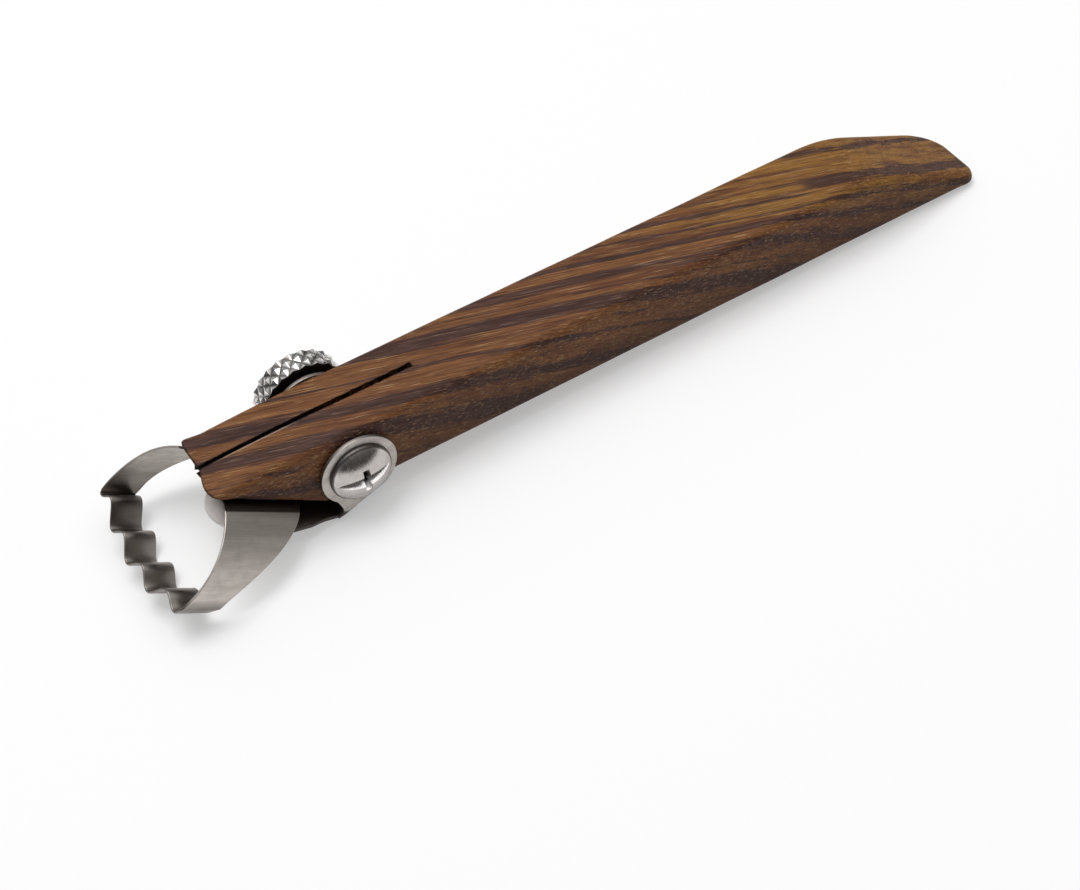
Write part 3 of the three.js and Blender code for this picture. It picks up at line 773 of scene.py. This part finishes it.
def handle_top(x):
    if x < -NOSE_DROP_START:
        return -NOSE_DROP * ((-NOSE_DROP_START - x) / (-TIP_X - NOSE_DROP_START)) ** 2
    if x < TAIL_BEVEL_X - TAIL_BLEND:
        return 0
    if x < TAIL_BEVEL_X + TAIL_BLEND:
        return -math.tan(TAIL_BEVEL) * (x - TAIL_BEVEL_X + TAIL_BLEND) ** 2 / (4 * TAIL_BLEND)
    return -math.tan(TAIL_BEVEL) * (x - TAIL_BEVEL_X)


def handle_bottom(x):
    return max(-HANDLE_DEPTH, BEVEL_TOP_Z - (x - TIP_X) * math.tan(BEVEL))


def handle_half(x):
    along = min((x - TIP_X) / -TIP_X, 1)
    straight = (NOSE_WIDTH + (HANDLE_WIDTH - NOSE_WIDTH) * along) / 2
    return straight - corner_inset(x - TIP_X, NOSE_CORNER)


# How far the worn end of the nose stands forward of a straight cut
def nose_bulge(y):
    ragged = NOSE_RAG * noise.noise(Vector((7.7, y * 0.9, 0)))
    if y > 0:
        return ragged
    share = min(-2 * y / NOSE_WIDTH, 1)
    return ragged + NOSE_BULGE * math.sin(math.pi * share**BULGE_SKEW / BULGE_SPAN)


def handle_section(x):
    end = corner_inset(min(x - TIP_X, TAIL_X - x), END_ROUND)
    top = handle_top(x) - end
    bottom = handle_bottom(x) + end
    half = handle_half(x) - END_SIDE * end
    near = half - corner_inset(TAIL_X - x, TAIL_CORNER_NEAR)
    far = half - corner_inset(TAIL_X - x, TAIL_CORNER_FAR)
    worn = EDGE_WEAR * noise.noise(Vector((x * 0.05, 3.1, 0)))
    radius = min(EDGE_RADIUS + worn, EDGE_SHARE * (top - bottom))
    corners = [
        (far - radius, top - radius),
        (radius - near, top - radius),
        (radius - near, bottom + radius),
        (far - radius, bottom + radius),
    ]
    ring = []
    for quarter, (y, z) in enumerate(corners):
        for i in range(EDGE_STEPS + 1):
            angle = math.pi / 2 * (quarter + i / EDGE_STEPS)
            ring.append((y + radius * math.cos(angle), z + radius * math.sin(angle)))
        if quarter in (0, 2):
            y, z = ring[-1]
            after = corners[quarter + 1][0]
            ring += [(y + (after - y) * i / FACE_STEPS, z) for i in range(1, FACE_STEPS)]
    reach = 1 - smooth(0, NOSE_BLEND, x - TIP_X)
    points = []
    for y, z in ring:
        shift = reach * nose_bulge(y)
        rise = min(shift * math.tan(BEVEL), NOSE_RISE * (top - bottom)) * (top - z) / (top - bottom)
        points.append((x - shift, y, z + rise))
    return points


# Sections lie close together in the rounded ends and corners, and evenly between them
def handle_stations():
    quarter = linspace(0, math.pi / 2, ROUND_STATIONS)
    rounds = (
        (TIP_X, END_ROUND, quarter[:-2]),
        (TAIL_X, -END_ROUND, quarter[:-2]),
        (TIP_X, NOSE_CORNER, quarter),
        (TAIL_X, -TAIL_CORNER_NEAR, quarter),
        (TAIL_X, -TAIL_CORNER_FAR, quarter),
    )
    ends = [end + radius * (1 - math.cos(a)) for end, radius, angles in rounds for a in angles]
    bevel_end = TIP_X + (HANDLE_DEPTH + BEVEL_TOP_Z) / math.tan(BEVEL)
    nose = linspace(TIP_X + NOSE_CORNER, bevel_end, NOSE_STATIONS)
    stick = linspace(bevel_end, TAIL_X - TAIL_CORNER_FAR, STICK_STATIONS)
    places = sorted(ends + nose + stick)
    return [x for i, x in enumerate(places) if i == 0 or x - places[i - 1] > STATION_GAP]


# The edges of the kerf wander a little, and they are ragged and wider towards its end
def kerf_cutter():
    near = []
    far = []
    for x in linspace(KERF_START, KERF_END, KERF_STATIONS):
        ragged = KERF_RAG + KERF_RAG * smooth(*KERF_RAG_X, x)
        half = KERF_HALF + KERF_WIDEN * smooth(*KERF_WIDEN_X, x)
        centre = KERF_MIDDLE + KERF_BOW * math.exp(-(((x - KERF_BOW_X) / KERF_BOW_REACH) ** 2))
        near.append((x, centre - half - ragged * noise.noise(Vector((x * 0.8, 5.2, 0)))))
        far.append((x, centre + half + ragged * noise.noise(Vector((x * 0.9, 9.4, 0)))))
    outline = near + far[::-1]
    levels = (-HANDLE_DEPTH - CUT_OVER, CUT_OVER)
    return loft_object("kerf_cutter", [[(x, y, z) for x, y in outline] for z in levels])


def bore_cutter():
    reach = HANDLE_WIDTH / 2 + CUT_OVER
    profile = [(0, -reach), (BORE_RADIUS, -reach), (BORE_RADIUS, reach), (0, reach)]
    return turned_object("bore_cutter", profile, BORE_SEGMENTS)


def make_handle():
    obj = loft_object("handle_wood", [handle_section(x) for x in handle_stations()])
    cut(obj, kerf_cutter())
    cut(obj, bore_cutter())
    finish_piece(obj, "stick", wood, ("handle",), sharp=45)


# Blade: a bent strip, drawn across the tool in y and m (depth below the bevel), with its edges
# in b (along the bevel)
def wave_mean(y):
    return WAVE_DEPTH - WAVE_BOW * ((y - WAVE_CENTRE) / LOOP_HALF) ** 2


def wave_point(k):
    y = WAVE_SHIFT + WAVE_PITCH * k - WAVE_SKEW * k * k
    return (y, wave_mean(y) + WAVE_HEIGHT / 2 * math.cos(2 * math.pi * k))


def cubic(a, b, c, d, t):
    s = 1 - t
    return tuple(s**3 * a[i] + 3 * s * s * t * b[i] + 3 * s * t * t * c[i] + t**3 * d[i] for i in range(2))


def arm_points(side, depth):
    handles = [
        (side * TAIL_FLAT, depth),
        (side * (TAIL_FLAT + ARM_START_PULL[0]), depth + ARM_START_PULL[1]),
        (side * (LOOP_HALF + ARM_END_PULL[0]), ARM_DROP - ARM_END_PULL[1]),
        (side * LOOP_HALF, ARM_DROP),
    ]
    return [cubic(*handles, t) for t in linspace(0, 1, ARM_STEPS)]


def blade_path():
    upper = LAY_GAP + SHEET / 2
    lower = upper + SHEET + LAY_GAP
    near_tail = [(y, lower) for y in linspace(TAIL_LAP, -TAIL_FLAT, TAIL_STEPS)[:-1]]
    far_tail = [(y, upper) for y in linspace(TAIL_FLAT, -TAIL_LAP, TAIL_STEPS)[1:]]
    wave = [wave_point(k) for k in linspace(-WAVES / 2, WAVES / 2, WAVE_STEPS * WAVES + 1)]
    return (
        near_tail
        + arm_points(-1, lower)
        + [(CORNER_IN - LOOP_HALF, CORNER_DROP)]
        + wave
        + [(LOOP_HALF - CORNER_IN, CORNER_DROP)]
        + arm_points(1, upper)[::-1]
        + far_tail
    )


def arm_edges(share):
    forward = FRONT_START * share + (1 - FRONT_START) * share**2
    front = TAIL_FRONT + (BAND_FRONT - TAIL_FRONT) * forward
    fall = 1 - 3 * share**2 + 2 * share**3
    start_bow = REAR_START * (share - 2 * share**2 + share**3)
    finish_bow = REAR_FINISH * (share**3 - share**2)
    return (front, CORNER_REAR + (TAIL_REAR - CORNER_REAR) * (fall + start_bow + finish_bow))


def band_edges(from_corner):
    share = min(from_corner / CORNER_TAPER, 1)
    return (BAND_FRONT, CORNER_REAR + (BAND_REAR - CORNER_REAR) * share)


def tail_edges(from_end):
    middle = (TAIL_FRONT + TAIL_REAR) / 2
    half = (TAIL_REAR - TAIL_FRONT) / 2
    along = min(from_end / TAIL_END, 1)
    share = TAIL_END_SHARE + (1 - TAIL_END_SHARE) * math.sqrt(1 - (1 - along) ** 2)
    return (middle - half * share, middle + half * share)


def strip_edges(path):
    lengths = [0]
    for (y, m), (y0, m0) in zip(path[1:], path):
        lengths.append(lengths[-1] + math.hypot(y - y0, m - m0))
    edges = []
    for length in lengths:
        from_end = min(length, lengths[-1] - length)
        on_arm = from_end - TAIL_LAP - TAIL_FLAT
        if on_arm <= 0:
            edges.append(tail_edges(from_end))
        elif on_arm >= ARM_LENGTH:
            edges.append(band_edges(on_arm - ARM_LENGTH))
        else:
            edges.append(arm_edges(on_arm / ARM_LENGTH))
    return edges


def blade_place(b, y, m):
    return (
        TIP_X + b * math.cos(BEVEL) - m * math.sin(BEVEL),
        y,
        BEVEL_TOP_Z - b * math.sin(BEVEL) - m * math.cos(BEVEL),
    )


# The strip's cross-section in b and out of the middle of the sheet, with its edges rounded
def strip_section(front, rear):
    half = SHEET / 2
    section = []
    for b, inwards, side in ((rear, -1, 1), (rear, -1, -1), (front, 1, -1), (front, 1, 1)):
        corner = [
            (b + inwards * SHEET_EDGE, side * half),
            (b + inwards * SHEET_EDGE_IN, side * (half - SHEET_EDGE_DOWN)),
            (b, side * (half - SHEET_EDGE)),
        ]
        section += corner if inwards == -side else corner[::-1]
    return section


def make_blade():
    path = blade_path()
    rings = []
    for i, ((y, m), (front, rear)) in enumerate(zip(path, strip_edges(path))):
        before = path[max(i - 1, 0)]
        after = path[min(i + 1, len(path) - 1)]
        along = Vector((after[0] - before[0], after[1] - before[1])).normalized()
        rings.append([
            blade_place(b, y - along.y * out, m + along.x * out) for b, out in strip_section(front, rear)
        ])
    obj = loft_object("blade_strip", rings)
    finish_piece(obj, "loop", blade_steel, ("blade",), sharp=34)


# The saddle is its node's solid, with the flat faces joined and the rims rounded
def make_saddle():
    mesh = frame["nodes"]["saddle"].data.copy()
    mesh.name = "saddle_plate"
    mesh.transform(TOOL.inverted())
    obj = add_object("saddle_plate", mesh)
    obj.matrix_world = TOOL
    edit_mesh(mesh, weld=True, flat_degrees=SADDLE_FLAT_DEGREES)
    round_edges(obj, SADDLE_ROUND, angle=30)
    finish_piece(obj, "clamp", saddle_steel, ("saddle",), sharp=32)


# A bar across the screw's axis that narrows from its top to its floor, each given as length by width
def tapered_bar(name, top_size, floor_size, depth):
    rings = []
    for y, (length, width) in ((CROWN_Y - CUTTER_OVER, top_size), (CROWN_Y + depth, floor_size)):
        rings.append([
            (sx * length / 2, y, sz * width / 2 - SCREW_DEPTH)
            for sx, sz in ((-1, -1), (1, -1), (1, 1), (-1, 1))
        ])
    return loft_object(name, rings)


# Combined slot and cross recess in a domed head
def make_screw_head():
    foot = HEAD_RADIUS - HEAD_CHAMFER
    profile = [
        (DOME_RADIUS * math.sin(a), CROWN_Y + DOME_RADIUS * (1 - math.cos(a)))
        for a in linspace(0, math.asin(foot / DOME_RADIUS), DOME_RINGS)
    ]
    profile += [(HEAD_RADIUS - HEAD_EDGE_IN, RIM_Y - HEAD_EDGE), (HEAD_RADIUS, RIM_Y + HEAD_EDGE_DOWN)]
    profile += [(HEAD_RADIUS, HEAD_SEAT - HEAD_EDGE), (HEAD_RADIUS - SEAT_EDGE_IN, HEAD_SEAT)]
    profile += [(SCREW_RADIUS, HEAD_SEAT), (SCREW_RADIUS, THREAD_START), (0, THREAD_START)]
    obj = turned_object("screw_head", profile, HEAD_SEGMENTS)
    cut(obj, tapered_bar("slot_cutter", SLOT_TOP, SLOT_FLOOR, SLOT_DEPTH))
    cut(obj, tapered_bar("cross_cutter", CROSS_TOP, CROSS_FLOOR, CROSS_DEPTH))
    cut(obj, tapered_bar("cross_cutter", CROSS_TOP[::-1], CROSS_FLOOR[::-1], CROSS_DEPTH))
    finish_piece(obj, "screw", screw_steel, ("clamp_screw",), sharp=30)


# Threaded end: a helical groove in the surface of the shank
def make_screw_thread():
    rows = int((SCREW_END - THREAD_START) / THREAD_PITCH * THREAD_STEPS)
    land = SCREW_END - THREAD_LAND
    rings = []
    for r in range(rows + 1):
        y = THREAD_START + r * THREAD_PITCH / THREAD_STEPS
        limit = SCREW_RADIUS - THREAD_CHAMFER + THREAD_CHAMFER * smooth(land, land - THREAD_CHAMFER, y)
        ring = []
        for s in range(THREAD_SEGMENTS):
            phase = (y / THREAD_PITCH - s / THREAD_SEGMENTS) % 1
            groove = smooth(THREAD_FLAT, 1 - THREAD_FLAT, 1 - abs(2 * phase - 1))
            out = min(SCREW_RADIUS - THREAD_DEPTH * groove, limit)
            ring.append(turned_point(out, 2 * math.pi * s / THREAD_SEGMENTS, y))
        rings.append(ring)
    obj = loft_object("screw_thread", rings)
    finish_piece(obj, "screw", screw_steel, (), sharp=40)


def make_washer():
    edge = WASHER_EDGE
    profile = [
        (BORE_RADIUS, WASHER_IN + edge), (BORE_RADIUS + edge, WASHER_IN),
        (WASHER_RADIUS - edge, WASHER_IN), (WASHER_RADIUS, WASHER_IN + edge),
        (WASHER_RADIUS, WASHER_OUT - edge), (WASHER_RADIUS - edge, WASHER_OUT),
        (BORE_RADIUS + edge, WASHER_OUT), (BORE_RADIUS, WASHER_OUT - edge),
    ]
    obj = turned_object("washer_ring", profile, closed=True)
    finish_piece(obj, "spacer", screw_steel, ("washer",), sharp=50)


# Thumb nut: two sets of crossing grooves leave rows of pyramids round the rim
def make_nut():
    columns = 2 * KNURLS
    shoulder = KNURL_FOOT - NUT_STEP
    inner_face = [(BORE_RADIUS, NUT_IN + NUT_CHAMFER_IN), (BORE_RADIUS + NUT_CHAMFER_IN, NUT_IN)]
    inner_face += [(shoulder, NUT_IN)]
    ring_levels = (NUT_OUT, NUT_OUT - NUT_RING_DEPTH, NUT_OUT - NUT_RING_DEPTH, NUT_OUT)
    outer_face = [(shoulder, NUT_OUT)] + list(zip(NUT_RING, ring_levels))
    outer_face += [(BORE_RADIUS + NUT_CHAMFER_OUT, NUT_OUT), (BORE_RADIUS, NUT_OUT - NUT_CHAMFER_OUT)]

    def ring(radii, y):
        return [turned_point(r, 2 * math.pi * c / columns, y) for c, r in enumerate(radii)]

    rings = [ring([radius] * columns, y) for radius, y in inner_face]
    first = len(rings)
    for row, y in enumerate(linspace(NUT_IN + NUT_STEP, NUT_OUT - NUT_STEP, KNURL_ROWS + 1)):
        rings.append(ring([NUT_RADIUS if (row + c) % 2 == 0 else KNURL_FOOT for c in range(columns)], y))
    rings += [ring([radius] * columns, y) for radius, y in outer_face]
    faces = []
    for r in range(len(rings)):
        after = (r + 1) % len(rings)
        for c in range(columns):
            n = (c + 1) % columns
            corners = (r * columns + c, r * columns + n, after * columns + n, after * columns + c)
            if first <= r < first + KNURL_ROWS:
                if (r - first + c) % 2 == 0:
                    corners = corners[1:] + corners[:1]
                faces.append((corners[0], corners[1], corners[2]))
                faces.append((corners[0], corners[2], corners[3]))
            else:
                faces.append(corners)
    obj = mesh_object("nut_knurled", [p for r in rings for p in r], faces)
    edit_mesh(obj.data, outwards=True)
    round_edges(obj, KNURL_ROUND, angle=14)
    finish_piece(obj, "nut", nut_steel, ("thumb_nut",), sharp=24)


make_handle()
make_blade()
make_saddle()
make_screw_head()
make_screw_thread()
make_washer()
make_nut()


# Floor, light and camera. The camera's axes and place are in the tool frame, the place in mm. Its
# focal length and centre are in pixels of an image of FRAME_SIZE.
FLOOR_REACH = 4.0
FLOOR_LEVEL = -0.00006
FLOOR_COLOUR = (0.97, 0.965, 0.97, 1)
FLOOR_LIFT = (0.2, 1.0, 0.4, 1.0)
WHITE = (1, 1, 1, 1)
SKY_DIRECTION = (0.06, 0.30, 0.95)
SKY_STOPS = ((0.05, (0.085, 0.082, 0.08, 1)), (0.5, (0.235, 0.23, 0.225, 1)), (0.9, WHITE))
SKY_STRENGTH = 0.85
LAMPS = (
    ("key", (-0.12, 0.28, 1.38), (0.9, 0.7), 10.6),
    ("fill", (0.7, -0.2, 1.2), (0.9, 0.9), 1.6),
)
CAMERA_RIGHT = (0.8302, -0.55675, -0.0284)
CAMERA_BACK = (-0.35015, -0.56042, 0.75055)
CAMERA_PLACE = (-101.9, -290.5, 316.84)
FRAME_SIZE = (1080, 890)
FOCAL_PIXELS = 2110.765
CENTRE_PIXELS = (656.94, 468.08)
SENSOR_WIDTH = 36.0
CLIP_START = 0.01
CLIP_END = 20.0


# The floor keeps the tool's shadow, and is lifted to white away from the tool where it is seen
def make_floor():
    mesh = bpy.data.meshes.new("floor")
    around = ((-1, -1), (1, -1), (1, 1), (-1, 1))
    corners = [(x * FLOOR_REACH, y * FLOOR_REACH, FLOOR_LEVEL) for x, y in around]
    mesh.from_pydata(corners, [], [(0, 1, 2, 3)])
    obj = add_object("floor", mesh)
    shader = Shader("floor")
    shader.principled(Base_Color=FLOOR_COLOUR, Roughness=0.9, Specular_IOR_Level=0.1)
    path = shader.node("ShaderNodeLightPath").outputs
    seen = shader.math("MAXIMUM", path["Is Camera Ray"], path["Is Glossy Ray"])
    lift = shader.times(seen, shader.fade(shader.length(shader.coordinate("Object")), *FLOOR_LIFT))
    white = shader.node("ShaderNodeEmission", {"Color": WHITE, "Strength": 1.0}).outputs[0]
    surface = shader.node("ShaderNodeMixShader", {0: lift, 1: shader.bsdf.outputs[0], 2: white}).outputs[0]
    shader.put(shader.tree.nodes["Material Output"].inputs["Surface"], surface)
    mesh.materials.append(shader.material)


# A bright sky above and behind the tool, and a dim room on the camera's side
def make_world():
    world = bpy.data.worlds.new("studio")
    bpy.context.scene.world = world
    world.use_nodes = True
    nodes = Nodes(world.node_tree)
    background = nodes.tree.nodes["Background"]
    height = nodes.dot(nodes.coordinate("Generated"), SKY_DIRECTION)
    nodes.put(background.inputs["Color"], nodes.ramp(height, SKY_STOPS))
    nodes.put(background.inputs["Strength"], SKY_STRENGTH)

    # The camera sees a plain pale backdrop
    seen = nodes.node("ShaderNodeLightPath").outputs["Is Camera Ray"]
    backdrop = nodes.node("ShaderNodeBackground", {"Color": WHITE}).outputs[0]
    surface = nodes.node("ShaderNodeMixShader", {0: seen, 1: background.outputs[0], 2: backdrop}).outputs[0]
    nodes.put(nodes.tree.nodes["World Output"].inputs["Surface"], surface)


def make_lamp(name, place, size, power):
    lamp = bpy.data.lights.new(name, "AREA")
    lamp.shape = "RECTANGLE"
    lamp.size = size[0]
    lamp.size_y = size[1]
    lamp.energy = power
    obj = add_object(name, lamp)
    obj.location = place
    obj.rotation_euler = (-Vector(place)).to_track_quat("-Z", "Y").to_euler()


def make_camera():
    back = Vector(CAMERA_BACK).normalized()
    up = back.cross(Vector(CAMERA_RIGHT)).normalized()
    right = up.cross(back)
    pose = Matrix((right, up, back)).transposed().to_4x4()
    pose.translation = Vector(CAMERA_PLACE) * MM
    width, height = FRAME_SIZE
    camera = bpy.data.cameras.new("camera")
    camera.sensor_fit = "HORIZONTAL"
    camera.sensor_width = SENSOR_WIDTH
    camera.lens = FOCAL_PIXELS / width * SENSOR_WIDTH
    camera.shift_x = (width / 2 - CENTRE_PIXELS[0]) / width
    camera.shift_y = (CENTRE_PIXELS[1] - height / 2) / width
    camera.clip_start = CLIP_START
    camera.clip_end = CLIP_END
    obj = add_object("camera", camera)
    obj.matrix_world = TOOL @ pose
    bpy.context.scene.camera = obj


make_floor()
make_world()
for lamp_settings in LAMPS:
    make_lamp(*lamp_settings)
make_camera()

bpy.context.scene.view_settings.view_transform = "Standard"
